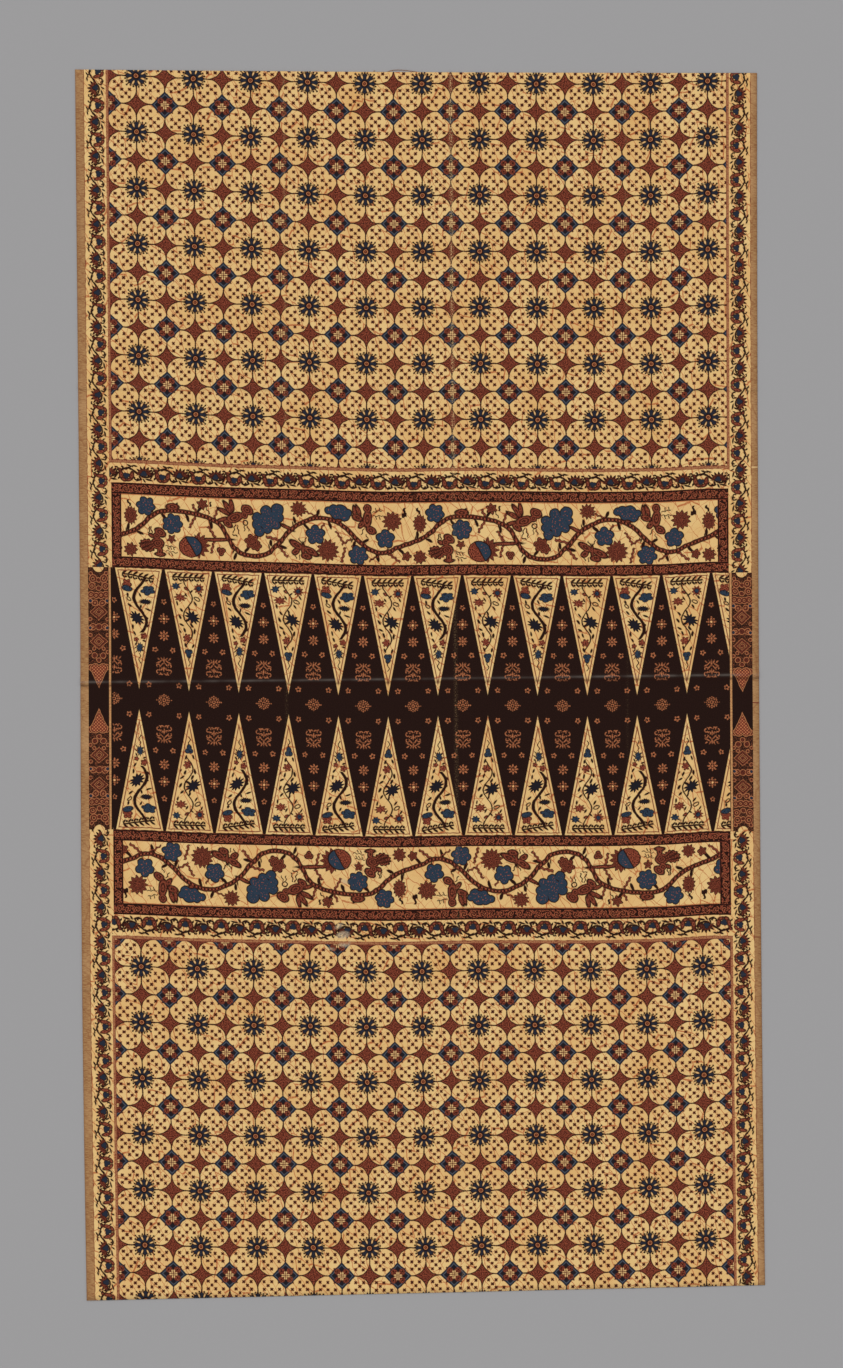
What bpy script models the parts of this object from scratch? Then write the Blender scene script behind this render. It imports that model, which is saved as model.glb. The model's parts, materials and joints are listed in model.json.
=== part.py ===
# Sarong: one woven length of printed cotton, opened out and laid flat.
# Metres, +Z up. The cloth lies on the plane z = 0, its length along Y and its selvedges along
# the two long sides. The origin is under the middle of its outline.

import math
from collections import namedtuple

import bmesh
import bpy

# Cut of the cloth
WIDTH = 1.063  # selvedge to selvedge, across the top end
LEFT_LENGTH = 1.919  # along the left selvedge
WALL = 0.0013  # thickness of the lying cloth

# How the lying cloth has been pulled out of square
LEFT_LEAN = 0.0182  # how far the left selvedge drifts to the right on its way down
LEFT_HOLLOW = 0.0025  # how far its lower half hangs back from that line
RIGHT_LEAN = 0.0125  # the same drift at the right selvedge, most of it low down
TOP_SLOPE = 0.0055  # how much lower the top end lies at the right than at the left
TOP_DIP = 0.0014  # how far the middle of the top end dips below that slope
BOTTOM_SLOPE = 0.0242  # how much higher the bottom end lies at the right

# Old fold lines that stand up as soft ridges. place is the share of the width from the left or
# of the length from the top, height and reach are of the ridge, drift is how far the line
# wanders from straight, and even is the share of its height that it keeps all along.
Fold = namedtuple("Fold", "place height reach drift even")
LENGTHWISE_FOLDS = (
    Fold(place=0.304, height=0.0009, reach=0.007, drift=0.0020, even=0.5),
    Fold(place=0.553, height=0.0011, reach=0.008, drift=-0.0025, even=0.6),
    Fold(place=0.806, height=0.0006, reach=0.006, drift=0.0015, even=0.3),
)
CROSSWISE_FOLDS = (
    Fold(place=0.124, height=0.0007, reach=0.006, drift=0.0020, even=0.4),
    Fold(place=0.259, height=0.0010, reach=0.007, drift=-0.0020, even=0.5),
    Fold(place=0.497, height=0.0017, reach=0.009, drift=0.0012, even=0.8),
    Fold(place=0.745, height=0.0008, reach=0.007, drift=0.0030, even=0.4),
    Fold(place=0.871, height=0.0006, reach=0.006, drift=-0.0015, even=0.3),
)

GRID_STEP = 0.055  # spacing of the sections between folds
RIDGE_POINTS = (-1.0, -0.5, 0.0, 0.5, 1.0)  # where a ridge is sectioned, in units of its reach
DRIFT_FADE = 0.05  # how far from a fold the sections still follow its drift

# Colours are the cloth's mean tone, since the print is only dyed
CLOTH_COLOUR = (0.42, 0.26, 0.13, 1.0)
CLOTH_ROUGHNESS = 0.85


def left_x(down):
    """x of the left selvedge at this share of the way down."""
    lower_half = max(0.0, (down - 0.45) / 0.55)
    return LEFT_LEAN * down - LEFT_HOLLOW * math.sin(math.pi * lower_half)


def right_x(down):
    return WIDTH + RIGHT_LEAN * down**2


def top_y(across):
    return -TOP_SLOPE * across - TOP_DIP * math.sin(math.pi * across)


def bottom_y(across):
    return -LEFT_LENGTH + BOTTOM_SLOPE * across


def on_cloth(across, down):
    """Place on the lying cloth, measured from its top left corner."""
    left, right = left_x(down), right_x(down)
    top, bottom = top_y(across), bottom_y(across)
    return left + across * (right - left), top + down * (bottom - top)


def section_places(folds, length):
    """Shares of the length at which the cloth is sectioned: evenly, and closer over each fold."""
    places = [(fold.place + step * fold.reach / length) for fold in folds for step in RIDGE_POINTS]
    count = round(length / GRID_STEP)
    clear = 0.6 * GRID_STEP / length
    for i in range(count + 1):
        even_place = i / count
        near_fold = any(abs(even_place - place) < clear for place in places)
        if i in (0, count) or not near_fold:
            places.append(even_place)
    return sorted(places)


def wandered(folds, place, along, length):
    """Where the section at this place really runs, this far along it. The outline stays put."""
    if place in (0.0, 1.0):
        return place
    for fold in folds:
        distance = abs(place - fold.place) * length
        fade = math.exp(-((distance / DRIFT_FADE) ** 2))
        place += fold.drift / length * fade * math.cos(math.pi * along)
    return place


def ridge_at(folds, place, along, length):
    """Height of the old folds above the plain cloth, uneven along their run."""
    total = 0.0
    for number, fold in enumerate(folds):
        distance = abs(place - fold.place) * length / fold.reach
        if distance < 1.0:
            swell = 0.5 + 0.5 * math.sin(2.0 * math.pi * (1.6 * along + 0.37 * number))
            share = fold.even + (1.0 - fold.even) * swell
            total += fold.height * share * 0.5 * (1.0 + math.cos(math.pi * distance))
    return total


def cloth_sections():
    """The upper points of the cloth: one list of (x, y, z) for each section across it."""
    columns = section_places(LENGTHWISE_FOLDS, WIDTH)
    rows = section_places(CROSSWISE_FOLDS, LEFT_LENGTH)
    sections = []
    for row in rows:
        section = []
        for column in columns:
            across = wandered(LENGTHWISE_FOLDS, column, row, WIDTH)
            down = wandered(CROSSWISE_FOLDS, row, column, LEFT_LENGTH)
            x, y = on_cloth(across, down)
            ridge = max(
                ridge_at(LENGTHWISE_FOLDS, column, row, WIDTH),
                ridge_at(CROSSWISE_FOLDS, row, column, LEFT_LENGTH),
            )
            section.append((x, y, WALL + ridge))
        sections.append(section)
    return sections


def centred(sections):
    """The same sections with the middle of their outline over the origin."""
    xs = [point[0] for section in sections for point in section]
    ys = [point[1] for section in sections for point in section]
    middle_x = (min(xs) + max(xs)) / 2
    middle_y = (min(ys) + max(ys)) / 2
    return [[(x - middle_x, y - middle_y, z) for x, y, z in section] for section in sections]


def add_cloth(name):
    """A closed wall: the sections joined above, the same points on the floor plane below."""
    sections = centred(cloth_sections())
    rows, columns = len(sections), len(sections[0])
    mesh_builder = bmesh.new()
    upper = [[mesh_builder.verts.new(point) for point in section] for section in sections]
    lower = [[mesh_builder.verts.new((x, y, 0.0)) for x, y, z in section] for section in sections]
    for i in range(rows - 1):
        for j in range(columns - 1):
            for layer in (upper, lower):
                mesh_builder.faces.new(
                    (layer[i][j], layer[i + 1][j], layer[i + 1][j + 1], layer[i][j + 1])
                )
    for i in range(rows - 1):
        for j in (0, columns - 1):
            mesh_builder.faces.new((upper[i][j], upper[i + 1][j], lower[i + 1][j], lower[i][j]))
    for j in range(columns - 1):
        for i in (0, rows - 1):
            mesh_builder.faces.new((upper[i][j], upper[i][j + 1], lower[i][j + 1], lower[i][j]))
    bmesh.ops.recalc_face_normals(mesh_builder, faces=mesh_builder.faces)
    mesh = bpy.data.meshes.new(name)
    mesh_builder.to_mesh(mesh)
    mesh_builder.free()
    mesh.shade_smooth()
    mesh.set_sharp_from_angle(angle=math.radians(40))
    cloth = bpy.data.objects.new(name, mesh)
    bpy.context.scene.collection.objects.link(cloth)
    return cloth


def cloth_material():
    material = bpy.data.materials.new("dyed_cotton")
    material.use_nodes = True
    shader = material.node_tree.nodes["Principled BSDF"]
    shader.inputs["Base Color"].default_value = CLOTH_COLOUR
    shader.inputs["Roughness"].default_value = CLOTH_ROUGHNESS
    shader.inputs["Metallic"].default_value = 0.0
    return material


def main():
    for old in list(bpy.data.objects):
        bpy.data.objects.remove(old, do_unlink=True)
    cloth = add_cloth("sarong_cloth")
    cloth.data.materials.append(cloth_material())


main()
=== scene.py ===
# Sarong: one length of batik cotton, opened out and laid flat, seen from straight above.
# The print is drawn in millimetres on the cloth's own UV maps, so it follows the weave.
import bpy
import json
import math
from functools import partial, reduce
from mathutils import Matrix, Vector, noise

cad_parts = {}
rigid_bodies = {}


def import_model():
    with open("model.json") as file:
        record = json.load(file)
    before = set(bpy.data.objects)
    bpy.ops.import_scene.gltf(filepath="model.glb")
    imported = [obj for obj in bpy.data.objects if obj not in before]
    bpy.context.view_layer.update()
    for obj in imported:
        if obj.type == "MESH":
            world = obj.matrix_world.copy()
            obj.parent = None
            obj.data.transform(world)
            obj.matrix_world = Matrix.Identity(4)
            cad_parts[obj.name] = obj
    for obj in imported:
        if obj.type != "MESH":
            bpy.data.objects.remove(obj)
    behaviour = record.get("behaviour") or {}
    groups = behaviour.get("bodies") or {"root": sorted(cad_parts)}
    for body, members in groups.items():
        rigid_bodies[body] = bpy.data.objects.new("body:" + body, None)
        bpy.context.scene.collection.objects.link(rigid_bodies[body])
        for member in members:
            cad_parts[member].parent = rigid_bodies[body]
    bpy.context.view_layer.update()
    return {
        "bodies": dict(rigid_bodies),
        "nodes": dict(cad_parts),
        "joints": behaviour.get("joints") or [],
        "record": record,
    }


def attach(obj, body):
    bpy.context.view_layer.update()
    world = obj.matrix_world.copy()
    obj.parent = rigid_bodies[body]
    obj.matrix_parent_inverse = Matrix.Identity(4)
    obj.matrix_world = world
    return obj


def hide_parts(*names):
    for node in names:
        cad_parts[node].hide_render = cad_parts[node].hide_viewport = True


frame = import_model()
print("frame loaded")

# the cloth, in metres, as its solid lies
cloth = {
    "width": 1.063,  # selvedge to selvedge
    "leftLength": 1.919,  # along the left selvedge
    "top": 0.0013,  # height of the upper side
    "thickness": 0.0011,
    "leftLean": 0.0182,  # the left selvedge drifts right on its way down
    "leftHollow": 0.0025,
    "rightLean": 0.0125,
    "topSlope": 0.0055,
    "topDip": 0.0014,
    "bottomSlope": 0.0242,
    "step": 0.0092,  # spacing of the mesh between folds
    "ripple": 0.00025,  # small unevenness of the lying cloth
    "driftReach": 0.05,  # how far beside a fold its drift pulls the cloth
    "greyWearAndHighlight": 0.28,  # share of pale grey along a crosswise fold's crest, partly rubbed dye and partly painted highlight
}

# old folds: place is a share of the width or length; the rest is in metres but for even and the last, which
# sets how much worn dye, painted shadow and painted highlight a fold shows
lengthwiseFolds = (
    {"place": 0.304, "height": 0.0009, "reach": 0.007, "drift": 0.0020, "even": 0.5, "wearAndShade": 0.35},
    {"place": 0.553, "height": 0.0011, "reach": 0.008, "drift": -0.0025, "even": 0.6, "wearAndShade": 0.9},
    {"place": 0.806, "height": 0.0006, "reach": 0.006, "drift": 0.0015, "even": 0.3, "wearAndShade": 0.2},
)
crosswiseFolds = (
    {"place": 0.124, "height": 0.0007, "reach": 0.006, "drift": 0.0020, "even": 0.4, "wearAndShade": 0.15},
    {"place": 0.259, "height": 0.0010, "reach": 0.007, "drift": -0.0020, "even": 0.5, "wearAndShade": 0.3},
    {"place": 0.497, "height": 0.0017, "reach": 0.009, "drift": 0.0012, "even": 0.8, "wearAndShade": 1.0},
    {"place": 0.745, "height": 0.0008, "reach": 0.007, "drift": 0.0030, "even": 0.4, "wearAndShade": 0.25},
    {"place": 0.871, "height": 0.0006, "reach": 0.006, "drift": -0.0015, "even": 0.3, "wearAndShade": 0.1},
)
foldSections = (-1.0, -0.6, -0.28, 0.0, 0.28, 0.6, 1.0)  # in units of the fold's reach

# the print, in millimetres from the left selvedge (across) and the top cut end (down)
layout = {
    "stripLeft": 12.8,  # end of the plain strip along the left selvedge
    "borderLeft": 47.4,  # inner edge of the cream border
    "panelLeft": 50.4,  # outer edge of the scroll frame round the flower panels
    "panelLeftIn": 66.0,
    "panelRightIn": 999.6,
    "panelRight": 1016.7,
    "borderRight": 1019.0,
    "stripRight": 1053.0,
    "fieldEnd": 611.8,  # down: top field, cross border, scroll, flowers, scroll, head panel
    "scrollA": 643.3,
    "flowersA": 661.0,
    "scrollB": 758.4,
    "headTop": 775.6,
    "headEnd": 1184.7,
    "flowersB": 1201.8,
    "scrollC": 1299.2,
    "crossB": 1317.0,
    "fieldStart": 1350.6,
}
middleDown = (layout["headTop"] + layout["headEnd"]) / 2

# the weft is bowed: how far a printed row hangs below its height at the left, across the width
bowShares = (0.0, 0.15, 0.30, 0.45, 0.60, 0.80, 0.92, 1.0)
bowDrops = (0.0, 5.0, 7.6, 10.0, 7.4, 7.2, 4.5, 0.0)
slopeDowns = (100.0, 643.0, 1316.0, 1832.0)  # and how much lower it ends at the right
slopeDrops = (9.4, 9.7, 0.9, -9.4)
bowStart = 0.053  # share of the width at which the rows start to hang
bowEnd = 0.931

# field of four-petalled flowers: cell size in the motif's own millimetres
fieldCell = 88.0
topField = {"firstAcross": 95.0, "pitchAcross": 89.1, "firstDown": 8.4, "pitchDown": 87.2}
lowField = {"firstAcross": 92.6, "pitchAcross": 87.9, "firstDown": 1397.3, "pitchDown": 86.9}
borderRepeat = 54.0
sideBorder = {"start": 321.9, "pitch": 53.2}
crossBorder = {"start": 692.7, "pitch": 56.2, "startB": 668.0, "middle": 533.0, "reach": 480.0}
flowerRepeat = 452.7
flowerStart = {"upper": 139.5, "lower": 439.1}
tumpal = {"pitch": 78.0, "first": 170.0, "half": 36.9, "height": 188.0}
scrollHeight = 17.5
borderWidth = 34.6


def dye(red, green, blue):
    # a colour as the eye reads it, 0 to 255, made linear
    parts = []
    for part in (red, green, blue):
        part = part / 255
        parts.append(part / 12.92 if part <= 0.04045 else ((part + 0.055) / 1.055) ** 2.4)
    return (*parts, 1.0)


dyes = {
    "cream": dye(222, 187, 126),
    "creamDeep": dye(212, 166, 104),
    "crackle": dye(172, 93, 53),
    "soga": dye(113, 52, 37),  # the red-brown of the print
    "sogaLight": dye(152, 78, 54),
    "dark": dye(38, 17, 12),
    "markEdge": dye(132, 66, 40),
    "markDark": dye(54, 20, 14),
    "frame": dye(164, 110, 74),
    "darkBlue": dye(30, 27, 33),
    "indigo": dye(37, 42, 54),
    "indigoBand": dye(43, 57, 72),
    "indigoPale": dye(96, 102, 108),
    "ground": dye(32, 17, 13),
    "groundPale": dye(50, 29, 23),
    "gold": dye(188, 120, 78),
    "goldDeep": dye(146, 82, 54),
    "goldPale": dye(222, 176, 116),
    "strip": dye(170, 130, 86),
    "stripDark": dye(136, 90, 56),
    "stripPale": dye(192, 152, 108),
    "bald": dye(186, 166, 138),
    # pale grey of the fold crests: rubbed dye and painted highlight
    "wornGreyAndHighlight": dye(150, 142, 134),
    "wornCream": dye(214, 178, 126),
}


def between(places, values, at):
    # smooth curve through the values
    if at <= places[0]:
        return values[0]
    if at >= places[-1]:
        return values[-1]
    i = max(k for k in range(len(places) - 1) if places[k] <= at)
    t = (at - places[i]) / (places[i + 1] - places[i])
    before = values[max(i - 1, 0)]
    after = values[min(i + 2, len(values) - 1)]
    here, there = values[i], values[i + 1]
    rise = (there - before) / 2
    fall = (after - here) / 2
    return (
        here * (1 + 2 * t) * (1 - t) ** 2
        + there * t * t * (3 - 2 * t)
        + rise * t * (1 - t) ** 2
        - fall * t * t * (1 - t)
    )


def leftX(down):
    lowerHalf = max(0.0, (down - 0.45) / 0.55)
    return cloth["leftLean"] * down - cloth["leftHollow"] * math.sin(math.pi * lowerHalf)


def rightX(down):
    return cloth["width"] + cloth["rightLean"] * down**2


def topY(across):
    return -cloth["topSlope"] * across - cloth["topDip"] * math.sin(math.pi * across)


def bottomY(across):
    return -cloth["leftLength"] + cloth["bottomSlope"] * across


def rowDrop(across, printDown):
    # how far below its height at the left a printed row lies, in millimetres
    share = min(max((across - bowStart) / (bowEnd - bowStart), 0.0), 1.0)
    return between(bowShares, bowDrops, share) + between(slopeDowns, slopeDrops, printDown) * share


def printAt(across, height):
    # the printed row that lies this far below the top left corner, in millimetres
    row = height
    for _ in range(3):
        row = height - rowDrop(across, row)
    return row


def heightOf(across, down):
    # millimetres below the top left corner, at a share of the cloth's length
    top, bottom = topY(across), bottomY(across)
    return -1000 * (top + down * (bottom - top))


def swellAt(fold, number, along):
    swell = 0.5 + 0.5 * math.sin(2 * math.pi * (1.6 * along + 0.37 * number))
    return fold["even"] + (1 - fold["even"]) * swell


def ridgeAt(fold, swell, apart):
    # height of a fold at this share of its reach from its middle
    return fold["height"] * swell * 0.5 * (1 + math.cos(math.pi * apart))


def stepsBetween(anchors, step):
    # how many divisions of the mesh go between each two anchors
    return [max(1, round((there - here) / step)) for here, there in zip(anchors, anchors[1:])]


def divided(anchors, counts):
    places = [anchors[0]]
    for here, there, count in zip(anchors, anchors[1:], counts):
        for k in range(1, count + 1):
            places.append(here + (there - here) * k / count)
    return places


def columnPlaces():
    # shares of the width where the mesh is divided
    anchors = [0.0, 1.0]
    for name in ("stripLeft", "borderLeft", "panelLeft", "panelLeftIn", "panelRightIn", "panelRight",
                 "borderRight", "stripRight"):
        anchors.append(layout[name] / 1000 / cloth["width"])
    for fold in lengthwiseFolds:
        for section in foldSections:
            anchors.append(fold["place"] + section * fold["reach"] / cloth["width"])
    anchors.sort()
    return divided(anchors, stepsBetween(anchors, cloth["step"] / cloth["width"]))


def rowAnchors(across):
    # heights of the rows that the mesh must have here: the ends, the folds and the print's bounds
    anchors = [heightOf(across, 0.0), heightOf(across, 1.0)]
    for fold in crosswiseFolds:
        drift = fold["drift"] * math.cos(math.pi * across)
        for section in foldSections:
            anchors.append(heightOf(across, fold["place"]) + 1000 * (drift + section * fold["reach"]))
    rows = ("fieldEnd", "scrollA", "flowersA", "scrollB", "headTop", "headEnd", "flowersB", "scrollC",
            "crossB", "fieldStart")
    for down in [layout[name] for name in rows] + [middleDown]:
        anchors.append(down + rowDrop(across, down))
    return sorted(anchors)


def rowCounts():
    return stepsBetween(rowAnchors(0.0), 1000 * cloth["step"])


def zoneOf(across, down):
    # name of the printed zone and its own coordinates for a point of it
    mirrored = down > middleDown
    if across < layout["stripLeft"]:
        return "strip", lambda u, v: (v, u)
    if across > layout["stripRight"]:
        return "strip", lambda u, v: (v, cloth["width"] * 1000 - u)
    if layout["headTop"] < down < layout["headEnd"]:
        fromEnd = (lambda v: layout["headEnd"] - v) if mirrored else (lambda v: v - layout["headTop"])
        if across < layout["panelLeft"]:
            return "headBorder", lambda u, v: (fromEnd(v), u - layout["stripLeft"])
        if across > layout["panelRight"]:
            return "headBorder", lambda u, v: (fromEnd(v), layout["stripRight"] - u)
        start = tumpal["first"] + tumpal["pitch"] / 2
        return "head", lambda u, v: (u - start, fromEnd(v))
    sideScale = borderRepeat / sideBorder["pitch"]
    if across < layout["borderLeft"]:
        return "border", lambda u, v: ((v - sideBorder["start"]) * sideScale, u - layout["stripLeft"])
    if across > layout["borderRight"]:
        return "border", lambda u, v: ((v - sideBorder["start"]) * sideScale, layout["stripRight"] - u)
    if down < layout["fieldEnd"] or down > layout["fieldStart"]:
        field = topField if down < layout["fieldEnd"] else lowField
        scaleU = fieldCell / field["pitchAcross"]
        scaleV = fieldCell / field["pitchDown"]
        return "field", lambda u, v: (
            (u - field["firstAcross"]) * scaleU,
            (v - field["firstDown"]) * scaleV,
        )
    scale = borderRepeat / crossBorder["pitch"]
    if down < layout["scrollA"]:
        tall = borderWidth / (layout["scrollA"] - layout["fieldEnd"])
        return "border", lambda u, v: ((u - crossBorder["start"]) * scale, (v - layout["fieldEnd"]) * tall)
    if down > layout["crossB"]:
        tall = borderWidth / (layout["fieldStart"] - layout["crossB"])
        return "border", lambda u, v: (
            (crossBorder["startB"] - u) * scale,
            (layout["fieldStart"] - v) * tall,
        )
    # beside the flower panels the cream border's inner edge stays plain
    if across < layout["panelLeft"] or across > layout["panelRight"]:
        return "border", lambda u, v: (20.0, borderWidth - 1)
    bands = (
        ("scrollA", "flowersA", 1), ("scrollB", "headTop", 1),
        ("headEnd", "flowersB", -1), ("scrollC", "crossB", -1),
    )
    for first, last, way in bands:
        if layout[first] < down < layout[last]:
            tall = scrollHeight / (layout[last] - layout[first])
            if way > 0:
                return "scroll", lambda u, v: (u, (v - layout[first]) * tall)
            return "scroll", lambda u, v: (-u, (layout[last] - v) * tall)
    if across < layout["panelLeftIn"]:
        tall = scrollHeight / (layout["panelLeftIn"] - layout["panelLeft"])
        return "scroll", lambda u, v: (v, (u - layout["panelLeft"]) * tall)
    if across > layout["panelRightIn"]:
        tall = scrollHeight / (layout["panelRight"] - layout["panelRightIn"])
        return "scroll", lambda u, v: (v, (layout["panelRight"] - u) * tall)
    if not mirrored:
        return "flowers", lambda u, v: (u - flowerStart["upper"], v - layout["flowersA"])
    return "flowers", lambda u, v: (flowerStart["lower"] - u, layout["scrollC"] - v)


zoneNames = ("field", "border", "scroll", "flowers", "head", "headBorder", "strip")


# Drawing with nodes: every shape is a distance in millimetres, below zero inside
draw = {"tree": None}


def node(kind, **settings):
    made = draw["tree"].nodes.new(kind)
    for name, value in settings.items():
        setattr(made, name, value)
    return made


def feed(socket, value):
    if isinstance(value, bpy.types.NodeSocket):
        draw["tree"].links.new(value, socket)
    else:
        socket.default_value = value


def calc(operation, first, second=None, third=None, clamp=False):
    made = node("ShaderNodeMath", operation=operation, use_clamp=clamp)
    for socket, value in zip(made.inputs, (first, second, third)):
        if value is not None:
            feed(socket, value)
    return made.outputs[0]


plus = partial(calc, "ADD")
minus = partial(calc, "SUBTRACT")
times = partial(calc, "MULTIPLY")
timesPlus = partial(calc, "MULTIPLY_ADD")
larger = partial(calc, "MAXIMUM")
smaller = partial(calc, "MINIMUM")
unsigned = partial(calc, "ABSOLUTE")
folded = partial(calc, "PINGPONG")
repeated = partial(calc, "WRAP")
sine = partial(calc, "SINE")
cosine = partial(calc, "COSINE")
bearing = partial(calc, "ARCTAN2")


def vector(operation, first, second=None):
    made = node("ShaderNodeVectorMath", operation=operation)
    feed(made.inputs[0], first)
    if second is not None:
        feed(made.inputs[1], second)
    return made.outputs["Value" if operation in ("LENGTH", "DISTANCE", "DOT_PRODUCT") else "Vector"]


def pair(x, y, z=1.0):
    # a point of the print; its third part is 1, so that one dot product both turns and shifts it
    made = node("ShaderNodeCombineXYZ")
    feed(made.inputs[0], x)
    feed(made.inputs[1], y)
    made.inputs[2].default_value = z
    return made.outputs[0]


def size(x, y):
    return vector("LENGTH", pair(x, y, 0.0))


def split(point):
    made = node("ShaderNodeSeparateXYZ")
    feed(made.inputs[0], point)
    return made.outputs[0], made.outputs[1]


def seenFrom(point, x, y, turn=0.0, wide=1.0, tall=1.0):
    # the point's two parts as seen from a motif set at x, y, turned and sized
    c, s = math.cos(math.radians(turn)), math.sin(math.radians(turn))
    across = vector("DOT_PRODUCT", point, (c / wide, s / wide, -(c * x + s * y) / wide))
    down = vector("DOT_PRODUCT", point, (-s / tall, c / tall, (s * x - c * y) / tall))
    return across, down


def placed(point, x, y, turn=0.0, wide=1.0, tall=1.0):
    return pair(*seenFrom(point, x, y, turn, wide, tall))


def join(*shapes):
    return reduce(smaller, shapes)


def common(*shapes):
    return reduce(larger, shapes)


def outside(shape):
    return times(shape, -1)


def cut(shape, cutter):
    return larger(shape, outside(cutter))


def outline(shape, half):
    return minus(unsigned(shape), half)


def within(value, middle, reach):
    # the band this far to either side of the middle
    return outline(minus(value, middle), reach)


def disc(point, x, y, radius):
    return minus(vector("DISTANCE", point, (x, y, 1)), radius)


def ring(point, x, y, radius, half):
    return outline(disc(point, x, y, radius), half)


def oval(point, x, y, long, wide, turn=0.0):
    least = min(long, wide)
    return timesPlus(size(*seenFrom(point, x, y, turn, long, wide)), least, -least)


def hook(point, x, y, radius, half, turn=0.0):
    # a curl that stands open on one side
    across, down = seenFrom(point, x, y, turn)
    curl = within(size(across, down), radius, half)
    return common(curl, timesPlus(across, 1.0, -0.35 * radius))


def stick(point, x, y, reach, half, turn=0.0):
    # a short line, slightly wavy
    along, off = seenFrom(point, x, y, turn)
    wavy = timesPlus(sine(times(along, 0.8)), 0.8, off)
    return common(outline(wavy, half), outline(along, reach))


def many(shape, point, rows):
    # the same kind of shape at each row's place, joined one by one to spare the shader's stack
    whole = shape(point, *rows[0])
    for row in rows[1:]:
        whole = join(whole, shape(point, *row))
    return whole


def ovals(point, rows):
    # rows of x, y, half length, half width, turn in degrees
    return many(oval, point, rows)


def petals(point, x, y, radius, count, depth, turn=0.0):
    # a flower head with this many round petals
    across, down = seenFrom(point, x, y, turn)
    angle = bearing(down, across)
    wave = unsigned(cosine(times(angle, count / 2)))
    edge = timesPlus(wave, depth, radius - depth)
    return minus(size(across, down), edge)


def spikes(point, x, y, radius, count, depth, turn=0.0):
    # the same with pointed petals
    across, down = seenFrom(point, x, y, turn)
    saw = folded(bearing(down, across), math.pi / count)
    edge = timesPlus(saw, -depth * count / math.pi, radius)
    return minus(size(across, down), edge)


def ink(shape, soft=0.45):
    # how much dye there is: all inside the shape, none outside
    return timesPlus(shape, -0.5 / soft, 0.5, clamp=True)


def paint(under, amount, over):
    made = node("ShaderNodeMix", data_type="RGBA")
    feed(made.inputs[0], amount)
    feed(made.inputs[6], under)
    feed(made.inputs[7], over)
    return made.outputs[2]


def dyed(under, shape, name, soft=0.45, share=None):
    # the named dye inside the shape, let through in part where a share is given
    amount = ink(shape, soft)
    if share is not None:
        amount = times(amount, share)
    return paint(under, amount, dyes[name])


def shaded(under, value, start, end, name):
    # the named dye growing as the value goes from start to end
    return paint(under, step(value, start, end), dyes[name])


def speckle(point, scale, detail=0.0, rough=0.5, output="Fac"):
    made = node("ShaderNodeTexNoise", noise_dimensions="2D")
    feed(made.inputs["Vector"], point)
    made.inputs["Scale"].default_value = scale
    made.inputs["Detail"].default_value = detail
    made.inputs["Roughness"].default_value = rough
    return made.outputs[output]


def step(value, start, end):
    made = node("ShaderNodeMapRange")
    feed(made.inputs["Value"], value)
    made.inputs["From Min"].default_value = start
    made.inputs["From Max"].default_value = end
    return made.outputs[0]


def crackle(bend, apart, half, turn=0.0, stretch=1.0):
    # thin lines where the wax cracked in the dye bath, drawn out along one slant
    made = node("ShaderNodeTexVoronoi", feature="DISTANCE_TO_EDGE", voronoi_dimensions="2D")
    feed(made.inputs["Vector"], placed(bend, 0.0, 0.0, turn, stretch, 1.0))
    made.inputs["Scale"].default_value = 1 / apart
    return step(made.outputs["Distance"], half / apart, 0.3 * half / apart)


def swayed(point, sheet, scale, detail, far):
    # the point moved a little one way and another over the cloth
    sway = vector("SUBTRACT", speckle(sheet, scale, detail, output="Color"), (0.5, 0.5, 0.5))
    return vector("ADD", point, vector("MULTIPLY", sway, (far, far, 0)))


def openTree(name):
    # a zone's material, and what every print is drawn with
    material = bpy.data.materials.new("cotton_" + name)
    material.use_nodes = True
    draw["tree"] = material.node_tree
    sheet = node("ShaderNodeUVMap", uv_map="print").outputs[0]
    motif = node("ShaderNodeUVMap", uv_map="motif").outputs[0]
    return {
        "material": material,
        "sheet": sheet,
        "motif": swayed(motif, sheet, 0.11, 1.0, 1.8),  # as unsteady as a hand
        "plain": motif,
        "grain": speckle(sheet, 0.42, 2.0, 0.6),
        "cloud": speckle(sheet, 0.012, 2.0, 0.6),
        "bend": swayed(sheet, sheet, 0.05, 2.0, 6),
    }


def creamDye(pen):
    base = shaded(dyes["cream"], pen["cloud"], 0.35, 0.8, "creamDeep")
    bold = times(crackle(pen["bend"], 15.0, 0.62, 57.0, 3.6), step(pen["grain"], 0.2, 0.45))
    fine = times(crackle(pen["bend"], 13.0, 0.42, -50.0, 3.0), step(pen["cloud"], 0.65, 0.4))
    lines = larger(times(bold, 0.95), times(fine, 0.8))
    return paint(base, lines, dyes["crackle"])


# bald spots: across, down, half length, half width, turn
baldSpots = (
    (412.1, 1256, 5, 3.2, 20), (402.6, 1326, 6.2, 3, -30), (408.8, 1340, 10, 5.6, -12),
    (409.7, 1355.5, 6.6, 3, 0), (417.5, 1355, 1.6, 4.2, 15), (389.5, 1362, 5, 1.6, 4),
)


def baldness(pen, colour):
    u, v = split(pen["sheet"])
    fibres = speckle(placed(pen["sheet"], 0, 0, 55, 2.6, 0.6), 1, 1)
    amount = times(ink(ovals(pair(u, v), baldSpots), 1.6), step(fibres, 0.3, 0.55))
    return paint(colour, times(amount, 0.85), dyes["bald"])


# thread spacing in millimetres, then how far the weave stands out, in metres
weave = {"weft": 0.55, "warp": 0.5, "height": 0.0002, "strength": 0.25}


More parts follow.
